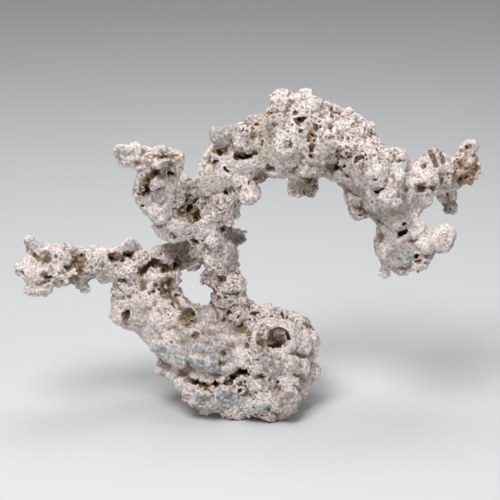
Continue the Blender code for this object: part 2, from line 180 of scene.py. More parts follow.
# Holes: across, down, half-width, half-height, turn, depth.
HOLES = [
    (122, 282, 3.0, 2.6, 0, 8), (113, 257, 4.0, 3.0, 20, 7), (119, 259, 2.4, 2.0, 0, 5),
    (127, 255, 3.4, 1.8, -15, 6), (150, 294, 2.4, 2.2, 0, 5), (128, 297, 2.2, 1.6, 0, 3),
    (132, 294, 1.6, 1.6, 0, 3), (125, 317, 3.6, 6.5, -15, 4), (176, 295, 2.6, 2.0, 30, 6),
    (195, 335, 3.4, 3.0, 0, 4), (198, 342, 2.6, 1.8, 15, 7), (170, 341, 3.6, 2.2, 0, 4),
    (232, 299, 2.0, 1.5, 0, 4), (241, 299, 2.2, 1.3, 0, 4), (238, 316, 1.8, 1.6, 0, 4),
    (254, 317, 2.4, 1.6, 30, 4), (217, 337, 3.0, 4.0, 0, 3), (278, 325, 2.4, 2.2, -30, 10),
    (301, 331, 2.2, 1.8, 0, 5), (239, 391, 1.6, 1.4, 0, 6), (267, 409, 2.6, 2.2, 0, 4),
    (242, 401, 2.2, 1.2, 0, 3), (228, 404, 4.4, 1.6, 0, 3), (282, 371, 1.8, 2.4, 0, 4),
    (225, 355, 2.6, 3.2, 0, 3), (49, 276, 4.0, 3.0, 20, 5), (46, 283, 4.0, 2.2, 0, 7),
    (92, 279, 3.0, 2.0, 20, 8), (71, 284, 3.4, 2.6, 0, 6), (22, 274, 3.0, 1.6, -30, 3),
    (20, 254, 6.0, 5.0, -30, 20), (78, 277, 5.0, 4.0, 0, 3), (46, 258, 4.0, 4.0, 0, 1.4),
    (188, 316, 7.0, 8.0, -35, 6), (170, 286, 9.0, 12.0, -35, 5), (180, 301, 8.0, 12.0, -40, 5),
    (261, 335, 6.0, 8.0, 0, 10), (266, 343, 8.0, 6.5, -30, 10), (275, 347, 8.0, 4.5, 0, 9),
    (288, 336, 4.0, 8.0, 0, 6), (262, 328, 6.0, 5.0, 0, 7), (196, 218, 4.0, 4.0, 0, 12),
    (189, 207, 8.0, 12.0, 28, 3), (184, 216, 2.2, 2.2, 0, 9), (193, 192, 2.4, 1.8, 0, 6),
    (174, 208, 3.4, 2.4, 20, 3), (137, 164, 1.8, 1.5, 0, 3), (170, 173, 3.4, 2.2, 0, 9),
    (144, 207, 3.2, 2.2, 0, 5), (226, 193, 3.4, 2.0, 10, 9), (236, 215, 2.6, 4.0, 0, 6),
    (225, 229, 3.0, 4.0, 20, 6), (196, 240, 2.6, 4.0, -40, 7), (177, 236, 3.4, 1.8, 10, 4),
    (188, 234, 2.6, 1.4, 0, 4), (219, 279, 2.6, 4.0, 20, 6), (205, 274, 3.6, 2.0, -35, 5),
    (302, 120, 4.2, 3.0, 20, 7), (301, 131, 2.0, 1.8, 0, 6), (317, 128, 3.0, 3.6, -30, 9),
    (313, 136, 1.8, 2.6, 0, 5), (311, 144, 2.4, 3.6, 0, 6), (310, 150, 1.6, 1.6, 0, 6),
    (311, 156, 2.0, 1.8, 0, 6), (290, 146, 4.2, 5.0, 20, 3), (337, 121, 3.8, 3.0, -20, 5),
    (351, 143, 4.2, 3.0, 0, 3), (257, 178, 2.2, 1.4, 20, 3), (269, 169, 6.0, 4.0, -30, 4),
    (376, 192, 4.2, 2.8, 20, 4.4), (371, 186, 1.8, 1.4, 0, 3), (376, 180, 3.0, 1.3, 0, 3),
    (400, 234, 5.4, 2.2, 25, 3.4), (240, 225, 10.0, 6.5, 0, 20), (254, 300, 8.0, 4.5, -25, 25),
    (408, 212, 3.2, 1.5, 0, 4), (404, 224, 2.2, 1.6, 30, 5), (419, 262, 1.6, 1.6, 0, 6),
    (380, 271, 1.8, 2.4, 0, 4), (423, 163, 2.6, 4.0, 20, 5), (447, 191, 1.8, 7.0, 10, 7),
    (450, 208, 2.2, 3.6, -20, 8), (448, 174, 1.6, 1.6, 0, 5), (468, 147, 2.4, 2.4, 0, 5),
    (461, 163, 4.6, 4.6, 0, 6), (460, 181, 4.2, 5.0, -20, 7), (477, 169, 2.0, 2.0, 0, 6),
    (467, 173, 3.0, 3.0, 0, 6), (456, 158, 2.2, 3.0, 0, 5), (207, 162, 2.0, 2.0, 0, 4),
    (215, 162, 1.5, 1.5, 0, 4), (360, 215, 5.0, 2.6, 10, 5), (343, 176, 5.0, 2.2, 10, 5),
    (330, 160, 1.6, 1.6, 0, 3), (240, 150, 3.0, 2.0, 0, 3),
]
# Crevices: width, depth, then the points that they pass through.
CREVICES = [
    (0.9, 2.0, [(28, 250), (36, 257), (44, 263)]),
    (3.2, 5.0, [(80, 254), (76, 260), (75, 266), (78, 273)]),
    (1.8, 3.0, [(87, 262), (88, 269)]),
    (5.4, 12.0, [(140, 273), (146, 268), (151, 264), (158, 266), (164, 270), (171, 266), (177, 264)]),
    (3.0, 7.0, [(156, 283), (157, 289), (154, 293)]),
    (1.6, 2.0, [(182, 313), (186, 320), (192, 324)]),
    (1.8, 3.0, [(229, 311), (226, 316), (224, 320)]),
    (4.6, 12.0, [(186, 380), (196, 383), (208, 386), (222, 386), (231, 381), (238, 374), (246, 370)]),
    (1.4, 4.0, [(224, 168), (232, 174), (231, 184), (232, 191)]),
    (3.0, 7.0, [(236, 156), (243, 157), (250, 155), (257, 153)]),
    (1.6, 3.0, [(209, 156), (218, 152), (226, 149)]),
    (1.6, 4.0, [(257, 124), (260, 134), (263, 144)]),
    (1.4, 4.0, [(266, 146), (269, 152)]),
    (1.6, 4.0, [(352, 160), (359, 158), (366, 156)]),
    (1.6, 4.0, [(332, 108), (333, 117)]),
    (2.4, 4.0, [(331, 172), (337, 168), (343, 166)]),
    (1.3, 4.0, [(398, 190), (406, 190), (414, 188)]),
    (3.0, 6.0, [(420, 190), (426, 187), (433, 186)]),
    (2.4, 4.0, [(158, 157), (164, 156), (169, 158)]),
    (7.0, 8.0, [(157, 169), (151, 177), (147, 185), (143, 192)]),
    (1.6, 3.0, [(154, 223), (160, 222), (165, 224)]),
    (2.0, 4.0, [(215, 297), (226, 296), (238, 293)]),
    (1.6, 4.0, [(417, 255), (416, 260), (419, 263)]),
    (1.6, 3.0, [(294, 112), (300, 115)]),
    (2.0, 3.5, [(430, 152), (434, 158), (437, 166)]),
    (1.6, 3.0, [(438, 150), (442, 157), (444, 165)]),
]
# Raised ridges and knobs: half-width, height over the skin, then the points that they pass through.
RIDGES = [
    (2.2, 1.6, [(400, 166), (403, 175), (407, 184), (414, 187)]),
    (1.8, 1.6, [(426, 153), (430, 162), (433, 170)]),
    (1.8, 1.6, [(434, 149), (438, 157), (440, 166)]),
    (1.8, 1.6, [(443, 151), (447, 160), (447, 168)]),
    (2.4, 1.8, [(155, 214), (163, 209), (170, 199), (176, 200)]),
    (2.0, 1.6, [(153, 227), (160, 229), (168, 232)]),
    (2.0, 1.6, [(163, 345), (168, 349), (174, 346)]),
    (1.5, 1.6, [(190, 335), (194, 329), (200, 332), (201, 338)]),
    (1.8, 1.8, [(314, 330), (318, 338), (320, 348)]),
    (2.4, 1.6, [(28, 291), (38, 291), (49, 290)]),
    (3.6, 2.2, [(419, 226)]),
    (5.0, 2.4, [(412, 235)]),
    (4.2, 2.4, [(468, 164), (474, 158)]),
    (3.4, 2.0, [(456, 167)]),
    (3.2, 2.0, [(470, 182)]),
    (2.4, 2.4, [(250, 284)]),
]
# The ringed coral disc: across, down, radius, width over height, space between rings, height of rings.
DISC = (445, 238, 11.0, 0.85, 3.4, 0.8)
# Places whose hollows are clean inside, without the brown dirt and the painted black shadow that the others have.
CLEAN = [(273, 333, 17, 13), (209, 319, 10, 9), (305, 347, 6, 10), (290, 145, 7, 7), (196, 352, 10, 8)]
# Stains and painted shade: colour, how strong, then spots of across, down, half-width and half-height. The dark
# grey spots are painted shade, and the blue grey spots are painted shade with a painted blue reflection.
STAINS = [
    # Painted shade with a painted blue reflection, on the undersides of the ledge and the base's lower lip
    ("blue_grey", 0.9, [
        (160, 352, 9, 7), (176, 358, 14, 8), (196, 366, 14, 9), (214, 368, 12, 9), (203, 352, 8, 5),
        (222, 398, 12, 6), (240, 402, 12, 6), (258, 409, 12, 6), (205, 398, 10, 6),
        (400, 260, 12, 8), (403, 260, 12, 8), (401, 257, 11, 6), (401, 263, 11, 6),
    ]),
    ("grey", 0.7, [
        (324, 149, 14, 10), (219, 136, 15, 12), (230, 128, 8, 8), (215, 184, 18, 13), (124, 151, 10, 6),
        (137, 313, 13, 9), (129, 246, 9, 6), (32, 246, 12, 7), (160, 199, 9, 7), (122, 160, 6, 4),
        (380, 215, 12, 14), (227, 258, 12, 20), (268, 130, 6, 10), (177, 222, 14, 8),
    ]),
    ("olive_grey", 0.7, [(314, 170, 17, 8), (205, 186, 10, 9)]),
    ("khaki", 0.45, [
        (266, 121, 7, 7), (261, 134, 8, 9), (267, 149, 7, 9), (259, 158, 6, 6), (166, 149, 10, 4), (180, 161, 5, 8),
    ]),
    # Painted shade on parts that lie in shadow, such as the strut behind the stem and the lumps under the arch
    ("dark_grey", 0.8, [
        (175, 244, 13, 8), (180, 256, 14, 9), (190, 262, 9, 5), (262, 178, 8, 9), (170, 284, 7, 8),
        (168, 247, 8, 7), (234, 238, 13, 7), (305, 189, 13, 8), (168, 166, 12, 8), (166, 176, 11, 6),
        (147, 162, 8, 4), (448, 205, 6, 10), (236, 213, 4, 12), (262, 178, 5, 8),
    ]),
    ("brown", 0.85, [
        (189, 205, 10, 13), (194, 214, 9, 10), (143, 268, 6, 7), (152, 264, 8, 7), (163, 268, 9, 7),
        (173, 266, 8, 6), (155, 171, 5, 6), (148, 181, 6, 8), (143, 190, 6, 7), (115, 257, 8, 6),
        (128, 254, 6, 4), (75, 278, 7, 7), (81, 262, 6, 12), (170, 291, 7, 8), (186, 318, 9, 8),
        (276, 341, 11, 7), (243, 371, 10, 5), (245, 155, 11, 4), (378, 238, 5, 6), (226, 227, 7, 8),
        (50, 241, 6, 3), (303, 122, 6, 6), (311, 140, 4, 14), (405, 233, 6, 6), (420, 188, 8, 5),
        (335, 168, 10, 4), (196, 240, 5, 6), (158, 157, 14, 3), (218, 152, 10, 3), (49, 278, 7, 6),
        (92, 280, 6, 5), (229, 191, 6, 4), (127, 318, 5, 8), (220, 279, 6, 7),
    ]),
    ("ochre", 0.75, [
        (466, 150, 7, 7), (460, 163, 8, 9), (471, 170, 7, 9), (466, 183, 9, 7), (455, 176, 5, 8),
        (457, 193, 5, 5), (476, 159, 4, 5),
    ]),
    ("white", 0.7, [
        (152, 206, 8, 8), (165, 228, 10, 7), (176, 226, 9, 7), (202, 305, 6, 12), (390, 196, 12, 9),
        (209, 319, 10, 9), (153, 279, 7, 9), (160, 210, 10, 10), (168, 222, 12, 9), (182, 196, 5, 8),
        (249, 192, 10, 9), (403, 176, 5, 12), (297, 125, 10, 12), (285, 150, 12, 14), (345, 125, 14, 12),
        (240, 208, 6, 8), (214, 240, 8, 10), (255, 330, 6, 10), (300, 340, 10, 14), (120, 290, 14, 12),
    ]),
]

for thing in list(bpy.data.objects):
    bpy.data.objects.remove(thing)
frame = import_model()
rng = np.random.default_rng(SEED)

node_boxes = [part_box(name) for name in frame["nodes"]]
box_low = np.min([low for low, _ in node_boxes], axis=0) / MM
box_high = np.max([high for _, high in node_boxes], axis=0) / MM
LOW = np.floor((box_low - MARGIN) / STEP) * STEP + STEP / 2
SHAPE = tuple(int(n) for n in np.ceil((box_high + MARGIN - LOW) / STEP) + 1)


def samples_along(axis):
    """Where the grid's samples are along one axis, in millimetres."""
    return (LOW[axis] + STEP * np.arange(SHAPE[axis])).astype(np.float32)


def node_surface(thing):
    """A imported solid's corners in millimetres and its triangles, with shared corners counted once."""
    mesh = thing.data
    mesh.calc_loop_triangles()
    corners = np.empty(len(mesh.vertices) * 3, np.float32)
    mesh.vertices.foreach_get("co", corners)
    triangles = np.empty(len(mesh.loop_triangles) * 3, np.int32)
    mesh.loop_triangles.foreach_get("vertices", triangles)
    keys = np.round(corners.reshape(-1, 3) / MM, 3)
    unique, where = np.unique(keys, axis=0, return_inverse=True)
    return unique.astype(np.float32), where.reshape(-1)[triangles].reshape(-1, 3).astype(np.uint32)


def distance_grid(points, reach, triangles=None, quads=None):
    """The signed distance to a closed surface at every sample, in millimetres, no further than reach."""
    placed = ((points - LOW) / STEP).astype(np.float32)
    grid = vdb.FloatGrid.createLevelSetFromPolygons(
        placed, triangles=triangles, quads=quads, halfWidth=reach / STEP
    )
    values = np.empty(SHAPE, np.float32)
    grid.copyToArray(values)
    return values * STEP


def surface_of(field, level=0.0):
    """The mesh of the field at a level: points in millimetres and quads that face outwards."""
    band = 3 * STEP
    grid = vdb.FloatGrid(band)
    grid.copyFromArray(np.clip(field - level, -band, band))
    points, triangles, quads = grid.convertToPolygons(isovalue=0.0, adaptivity=0.0)
    return points * STEP + LOW, quads


def whole_stone():
    """The distance to the skin of all the solids together, with the thin cuts between them closed."""
    corners, faces, count = [], [], 0
    for thing in frame["nodes"].values():
        points, triangles = node_surface(thing)
        corners.append(points)
        faces.append(triangles + np.uint32(count))
        count += len(points)
    apart = distance_grid(np.concatenate(corners), 3 * STEP, triangles=np.concatenate(faces))
    points, quads = surface_of(apart, BRIDGE)
    return distance_grid(points, REACH, quads=quads) + BRIDGE


def blurred(field, radius, rounds=2):
    """The field averaged over a box of the radius along each axis, a few times over."""
    half = max(1, round(radius / STEP))
    for _ in range(rounds):
        for axis in range(3):
            widths = [(0, 0)] * 3
            widths[axis] = (half + 1, half)
            sums = np.cumsum(np.pad(field, widths, mode="edge"), axis=axis, dtype=np.float32)
            after = np.take(sums, range(2 * half + 1, sums.shape[axis]), axis=axis)
            before = np.take(sums, range(0, sums.shape[axis] - 2 * half - 1), axis=axis)
            field = (after - before) / (2 * half + 1)
    return field


def spread_along(axis, values, spacing):
    """Smooth curves through the values along one axis, read at every sample."""
    place = (samples_along(axis) - LOW[axis]) / spacing
    knot = place.astype(np.int32)
    t = place - knot
    parts = [(1 - t) ** 3, 3 * t ** 3 - 6 * t ** 2 + 4, -3 * t ** 3 + 3 * t ** 2 + 3 * t + 1, t ** 3]
    across = [1, 1, 1]
    across[axis] = len(place)
    total = 0
    for shift, part in enumerate(parts):
        share = (part / 6).astype(np.float32).reshape(across)
        total = total + np.take(values, knot + shift, axis=axis) * share
    return total


def noise(spacing):
    """Smooth random values on the grid, as likely above zero as below, with a spread of about one."""
    knots = [int(count * STEP / spacing) + 4 for count in SHAPE]
    values = rng.standard_normal(knots, dtype=np.float32) / NOISE_SPREAD
    for axis in range(3):
        values = spread_along(axis, values, spacing)
    return values


def sample(field, points):
    """The field's value between the samples, at points in millimetres."""
    place = (points - LOW) / STEP
    place = np.clip(place, 0, np.array(SHAPE) - 1.001)
    cell = place.astype(np.int32)
    t = (place - cell).astype(np.float32)
    total = np.zeros(len(points), np.float32)
    for corner in range(8):
        step = np.array([corner & 1, corner >> 1 & 1, corner >> 2 & 1])
        share = np.prod(np.where(step, t, 1 - t), axis=1)
        at = cell + step
        total += share * field[at[:, 0], at[:, 1], at[:, 2]]
    return total


def outward(field, points, span=1.5):
    """The direction in which the field grows fastest, which points out of the stone."""
    slope = np.empty((len(points), 3), np.float32)
    for axis in range(3):
        shift = np.zeros(3)
        shift[axis] = span
        slope[:, axis] = sample(field, points + shift) - sample(field, points - shift)
    return slope / (np.linalg.norm(slope, axis=1)[:, None] + 1e-9)


def seats(field, pixels):
    """Where the photograph's pixels meet the stone: the points in millimetres, and whether there is one."""
    pixels = np.asarray(pixels, float)
    rays = FORWARD * DISTANCE + np.outer(pixels[:, 0] - IMAGE_MIDDLE, RIGHT)
    rays += np.outer(IMAGE_MIDDLE - pixels[:, 1], UP)
    rays /= np.linalg.norm(rays, axis=1)[:, None]
    travel = np.arange(DISTANCE - SIGHT_BEFORE, DISTANCE + SIGHT_BEHIND, SIGHT_STEP)
    path = EYE + rays[:, None, :] * travel[None, :, None]
    values = sample(field, path.reshape(-1, 3)).reshape(len(pixels), -1)
    inside = values < 0
    first = inside.argmax(axis=1)
    return path[np.arange(len(pixels)), first], inside.any(axis=1)


def block(centre, reach):
    """The samples within reach of a point: their place in the grid, and how far they are from it."""
    first = np.maximum(np.floor((centre - reach - LOW) / STEP).astype(int), 0)
    last = np.minimum(np.ceil((centre + reach - LOW) / STEP).astype(int) + 1, SHAPE)
    away = [LOW[axis] + STEP * np.arange(first[axis], last[axis]) - centre[axis] for axis in range(3)]
    x, y, z = np.meshgrid(*away, indexing="ij", sparse=True)
    return tuple(slice(a, b) for a, b in zip(first, last)), (x, y, z)


def ellipsoid(offsets, axes, sizes):
    """Distance to an ellipsoid with its axes along the rows of axes, near enough for carving."""
    near, far = 0.0, 0.0
    for row, size in zip(axes, sizes):
        along = offsets[0] * row[0] + offsets[1] * row[1] + offsets[2] * row[2]
        near = near + (along / size) ** 2
        far = far + (along / size ** 2) ** 2
    near = np.sqrt(near)
    return near * (near - 1) / (np.sqrt(far) + 1e-6)


def join(old, new, softness):
    """Both forms, with the seam between them filled to a softness in millimetres."""
    t = np.clip(0.5 + 0.5 * (old - new) / softness, 0, 1)
    return old + (new - old) * t - softness * t * (1 - t)


def carve(old, new, softness):
    """The old form without the new one, with the edge between them rounded."""
    return -join(-old, new, softness)


def turned_axes(normal):
    """Three directions at right angles, the last along the normal and the others turned at random."""
    side = np.cross(normal, rng.standard_normal(3))
    side /= np.linalg.norm(side) + 1e-9
    return np.array([side, np.cross(normal, side), normal])


def scattered(field, count, points, chance):
    """Random points of the skin with their outward directions. The chance says how likely each is."""
    picked = rng.choice(len(points), count, replace=False, p=chance / chance.sum())
    spots = points[picked].astype(float)
    return spots, outward(field, spots)


def add_nodules(field, spots, normals, sizes, softness):
    """Sets a rounded grain on the skin at each spot."""
    for spot, normal, size in zip(spots, normals, sizes):
        axes = turned_axes(normal)
        shape = size * rng.uniform(0.75, 1.25, 3)
        centre = spot + normal * size * rng.uniform(-0.45, 0.25)
        where, offsets = block(centre, 1.4 * size + softness)
        field[where] = join(field[where], ellipsoid(offsets, axes, shape), softness)


def add_pits(field, spots, normals, sizes, depths, softness):
    """Sinks a round pit in the skin at each spot."""
    for spot, normal, size, depth in zip(spots, normals, sizes, depths):
        axes = turned_axes(normal)
        lean = rng.uniform(0.7, 1.3, 2)
        shape = np.array([size * lean[0], size * lean[1], depth])
        where, offsets = block(spot, max(shape) + softness)
        field[where] = carve(field[where], ellipsoid(offsets, axes, shape), softness)


def view_axes(turn):
    """Directions across, up and away as the photograph sees them, turned by some degrees in its plane."""
    angle = math.radians(turn)
    across = RIGHT * math.cos(angle) + UP * math.sin(angle)
    return np.array([across, UP * math.cos(angle) - RIGHT * math.sin(angle), FORWARD])


def between(pixels, gap=1.6):
    """Points along a chain of pixels, no further apart than the gap."""
    chain = [pixels[0]]
    for (x0, y0), (x1, y1) in zip(pixels, pixels[1:]):
        count = max(1, round(math.hypot(x1 - x0, y1 - y0) / gap))
        chain += [(x0 + (x1 - x0) * k / count, y0 + (y1 - y0) * k / count) for k in range(1, count + 1)]
    return chain


def calm_patches(skin, rough):
    """Lowers the roughness where the photograph shows the stone smooth."""
    spots, found = seats(skin, [(x, y) for x, y, *_ in SMOOTH])
    for (_, _, wide, high, turn, smooth), spot, hit in zip(SMOOTH, spots, found):
        if hit:
            deep = max(wide, high)
            where, offsets = block(spot, deep + 4)
            away = ellipsoid(offsets, view_axes(turn), (wide + 1, high + 1, deep + 4))
            rough[where] *= 1 - smooth * np.clip(0.5 - away / 4, 0, 1)


def photographed_hollows(field, wobble):
    """Sinks the holes and crevices that the photograph shows, with uneven edges."""
    shapes = [((x, y), (wide, high, deep), turn) for x, y, wide, high, turn, deep in HOLES]
    for width, depth, pixels in CREVICES:
        for x, y in between(pixels):
            size = width / 2 * rng.uniform(0.7, 1.4)
            pixel = (x + rng.normal(0, 0.6), y + rng.normal(0, 0.6))
            shapes.append((pixel, (size, size, depth * rng.uniform(0.5, 1.0)), 0))
    spots, found = seats(field, [shape[0] for shape in shapes])
    for (_, sizes, turn), spot, hit in zip(shapes, spots, found):
        if hit:
            where, offsets = block(spot, max(sizes) + 3)
            uneven = min(1.3, 0.45 * min(sizes[:2])) * wobble[where]
            field[where] = carve(field[where], ellipsoid(offsets, view_axes(turn), sizes) + uneven, SEAM)


def lump(offsets, axes, sizes):
    """Distance to a rounded block with its axes along the rows of axes, near enough for joining."""
    total = 0.0
    for row, size in zip(axes, sizes):
        along = offsets[0] * row[0] + offsets[1] * row[1] + offsets[2] * row[2]
        total = total + np.abs(along / size) ** LUMP_POWER
    return (total ** (1 / LUMP_POWER) - 1) * min(sizes)


def photographed_bulges(field, skin, wobble):
    """Raises the blocky lumps that the photograph shows."""
    spots, found = seats(skin, [bulge[:2] for bulge in BULGES])
    for (_, _, wide, high, turn, height), spot, hit in zip(BULGES, spots, found):
        if hit:
            deep = 0.5 * (wide + high)
            centre = spot + FORWARD * (deep - height)
            where, offsets = block(centre, 1.4 * max(wide, high) + 2)
            new = lump(offsets, view_axes(turn), (wide, high, deep)) + 0.5 * wobble[where]
            field[where] = join(field[where], new, SEAM)


def unseen_bulges(field, skin, wobble):
    """Raises lumps like them on the sides that the photograph doesn't show, where the stone is thick."""
    count, sizes = UNSEEN_BULGES
    points, _ = surface_of(skin)
    facing = outward(skin, points) @ FORWARD
    spots, normals = scattered(skin, count, points, smoothstep(0.25, 0.7, facing) + 1e-6)
    for spot, normal in zip(spots, normals):
        size = rng.uniform(*sizes)
        shape = size * rng.uniform(0.7, 1.2, 3)
        centre = spot - normal * (shape[2] - rng.uniform(1.5, 3.0))
        if sample(skin, centre[None])[0] < -0.55 * size:
            where, offsets = block(centre, 1.5 * size + 2)
            new = lump(offsets, turned_axes(normal), shape) + 0.5 * wobble[where]
            field[where] = join(field[where], new, SEAM)


def worn_stains(field, rough, wobble):
    """Sinks and roughens the skin a little where it is stained brown or ochre, as the photograph shows it."""
    for name, _, spots in STAINS:
        if name in WORN:
            seen, found = seats(field, [spot[:2] for spot in spots])
            for (_, _, wide, high), spot, hit in zip(spots, seen, found):
                if hit:
                    where, offsets = block(spot, max(wide, high) + 3)
                    away = ellipsoid(offsets, view_axes(0), (0.85 * wide, 0.85 * high, WORN[name]))
                    field[where] = carve(field[where], away + 0.8 * wobble[where], 1.5)
                    near = ellipsoid(offsets, view_axes(0), (wide, high, max(wide, high) + 3))
                    rough[where] = np.maximum(rough[where], 1.1 * np.clip(0.5 - near / 2, 0, 1))


def photographed_ridges(field):
    """Raises the ridges and knobs that the photograph shows."""
    shapes = []
    for width, height, pixels in RIDGES:
        shapes += [(pixel, width * rng.uniform(0.8, 1.2), height) for pixel in between(pixels)]
    spots, found = seats(field, [shape[0] for shape in shapes])
    for (_, width, height), spot, hit in zip(shapes, spots, found):
        if hit:
            centre = spot - FORWARD * (height - width)
            where, offsets = block(centre, 1.3 * width + 2)
            ball = ellipsoid(offsets, view_axes(0), (width, width, width))
            field[where] = join(field[where], ball, SEAM)


def ringed_disc(field):
    """Fine rings round the flat coral disc on the hook."""
    x, y, radius, stretch, spacing, height = DISC
    spots, found = seats(field, [(x, y)])
    if found[0]:
        where, offsets = block(spots[0], radius + 1)
        axes = view_axes(0)
        across, up, _ = [offsets[0] * row[0] + offsets[1] * row[1] + offsets[2] * row[2] for row in axes]
        out = np.sqrt((across / stretch) ** 2 + up ** 2)
        wave = height * np.cos(2 * math.pi * out / spacing)
        field[where] += np.where(out < radius, wave * np.clip((radius - out) / 2, 0, 1), 0)


def add_chunks(field, spots, normals, sizes, softness):
    """Sets an angular fragment of old coral in the skin at each spot."""
    for spot, normal, size in zip(spots, normals, sizes):
        axes = turned_axes(normal + 0.5 * rng.standard_normal(3))
        half = size * rng.uniform(0.5, 1.3, 3)
        centre = spot - normal * size * rng.uniform(0.35, 0.8)
        where, offsets = block(centre, 1.7 * size + softness)
        edges = []
        for row, side in zip(axes, half):
            edges.append(np.abs(offsets[0] * row[0] + offsets[1] * row[1] + offsets[2] * row[2]) - side)
        out = np.sqrt(sum(np.maximum(edge, 0) ** 2 for edge in edges))
        inside = np.minimum(np.maximum(np.maximum(edges[0], edges[1]), edges[2]), 0)
        field[where] = join(field[where], out + inside - 0.15 * size, softness)


def cobbles(field, size):
    """How near each sample of the skin is to the middle of its cobble: one at the middle, none at the edge."""
    band = np.nonzero(np.abs(field) < 5.0)
    places = [(samples_along(axis)[index] - LOW[axis]) / size + 1 for axis, index in enumerate(band)]
    cells = [place.astype(np.int16) for place in places]
    count = [int(cell.max()) + 3 for cell in cells]
    middles = rng.random((3, *count), dtype=np.float32)
    nearest = np.full(len(places[0]), 9.0, np.float32)
    for shift in np.ndindex(3, 3, 3):
        at = [cell + (step - 1) for cell, step in zip(cells, shift)]
        apart = sum((middles[axis][tuple(at)] + at[axis] - places[axis]) ** 2 for axis in range(3))
        np.minimum(nearest, apart, out=nearest)
    lift = np.zeros(SHAPE, np.float32)
    lift[band] = 0.5 - np.sqrt(nearest)
    return lift


def crust(skin):
    """The skin with its lumps, hollows, cobbles, fragments, nodules, pits, grain and pores."""
    smooth = blurred(skin, 1.0, 1) + INSET
    rough = np.clip(0.62 + 0.38 * noise(28.0), 0.15, 1.15)
    calm_patches(skin, rough)
    wobble = 0.8 * noise(5.0) + 0.7 * noise(2.4)
    photographed_bulges(smooth, skin, wobble)
    unseen_bulges(smooth, skin, wobble)
    worn_stains(smooth, rough, wobble)
    photographed_hollows(smooth, wobble)
    field = smooth.copy()
    for spacing, height in SWELL:
        field -= height * noise(spacing)
    for size, height in BOULDERS:
        field -= height * (0.35 + 0.65 * rough) * np.minimum(cobbles(field, size), BOULDER_TOP)
    for size, height in COBBLES:
        field -= height * rough * cobbles(field, size)
    for spacing, height in PITTING:
        field += height * rough * smoothstep(0.6, 1.9, noise(spacing))
    points, _ = surface_of(field)
    chance = np.clip(sample(rough, points) - 0.25, 0.01, 1) ** 2
    count, sizes = CHUNKS
    spots, normals = scattered(field, count, points, chance)
    add_chunks(field, spots, normals, rng.uniform(*sizes, count), softness=1.3)
    count, sizes = NODULES
    spots, normals = scattered(field, count, points, chance)
    add_nodules(field, spots, normals, rng.uniform(*sizes, count), softness=0.9)
    change = field - smooth
    field = smooth + np.where(
        change < 0, MOST_RAISED * np.tanh(change / MOST_RAISED), MOST_SUNK * np.tanh(change / MOST_SUNK)
    )
    photographed_ridges(field)
    ringed_disc(field)
    count, sizes, depths = PITS
    spots, normals = scattered(field, count, points, chance)
    add_pits(field, spots, normals, rng.uniform(*sizes, count), rng.uniform(*depths, count), softness=0.6)
    for spacing, height in GRAIN:
        field -= height * (0.3 + 0.7 * rough) * noise(spacing)
    count, sizes, depths = PORES
    spots, normals = scattered(field, count, points, chance)
    add_pits(field, spots, normals, rng.uniform(*sizes, count), rng.uniform(*depths, count), softness=0.3)
    return field


def biggest_body(points, quads):
    """Only the faces of the largest connected surface."""
    label = np.arange(len(points))
    pairs = np.concatenate([quads[:, [0, 1]], quads[:, [1, 2]], quads[:, [2, 3]]]).astype(np.int64)
    while True:
        low = np.minimum(label[pairs[:, 0]], label[pairs[:, 1]])
        fresh = label.copy()
        np.minimum.at(fresh, pairs[:, 0], low)
        np.minimum.at(fresh, pairs[:, 1], low)
        fresh = fresh[fresh]
        fresh = fresh[fresh]
        if (fresh == label).all():
            break
        label = fresh
    values, counts = np.unique(label[quads[:, 0]], return_counts=True)
    keep = label[quads[:, 0]] == values[counts.argmax()]
    return quads[keep]


def smoothstep(low, high, value):
    """None at low, one at high, and a smooth rise between them."""
    t = np.clip((value - low) / (high - low), 0, 1)
    return t * t * (3 - 2 * t)


def linear(red, green, blue):
    """A colour of 0 to 255 as the eye sees it, as the renderer's light values."""
    return np.array([((c / 255 + 0.055) / 1.055) ** 2.4 for c in (red, green, blue)])


def mixed(first, second, share):
    """The first colours with a share of the second in them."""
    return first + (second - first) * share[:, None]


CREAM = linear(238, 225, 220)
GREY = linear(184, 174, 172)
# Tan: dirt, and painted shade in the fine pits
TAN = linear(170, 147, 120)
BROWN = linear(114, 82, 46)
# Near black: painted shadow in the deepest holes
BLACK = linear(30, 21, 13)
STAIN_COLOURS = {
    # Painted shade with a painted blue reflection
    "blue_grey": linear(169, 176, 178),
    "grey": linear(172, 165, 163),
    "olive_grey": linear(176, 170, 153),
    "khaki": linear(198, 187, 158),
    # Painted shade
    "dark_grey": linear(116, 102, 88),
    "brown": linear(122, 86, 46),
    "ochre": linear(168, 122, 56),
    "white": linear(243, 232, 230),
}


def covered(points, field, spots, blotch):
    """How far each point lies in one of the photograph's spots, from none to one, with uneven edges."""
    seen, found = seats(field, [spot[:2] for spot in spots])
    cover = np.zeros(len(points), np.float32)
    for (_, _, wide, high), spot, hit in zip(spots, seen, found):
        reach = max(wide, high)
        near = np.nonzero((np.abs(points - spot) < 1.3 * reach + 6).all(axis=1))[0]
        if hit and len(near):
            offsets = (points[near] - spot).T
            away = ellipsoid(offsets, view_axes(0), (wide, high, reach + 5)) / min(wide, high)
            cover[near] = np.maximum(cover[near], smoothstep(0.4, -0.5, away + 0.32 * blotch[near]))
    return cover


def stained(colour, points, field, blotch):
    """The colours with the photograph's stains, painted shade and painted blue reflection laid over them."""
    for name, strength, spots in STAINS:
        cover = covered(points, field, spots, blotch)
        patchy = strength * (1 - (0.6 if name in WORN else 0.4) * smoothstep(0.3, 1.0, blotch))
        tone = 1.0 - 0.45 * smoothstep(0.1, -0.9, blotch) if name in WORN else np.ones(len(points))
        colour = mixed(colour, STAIN_COLOURS[name] * tone[:, None], patchy * cover)
    return colour


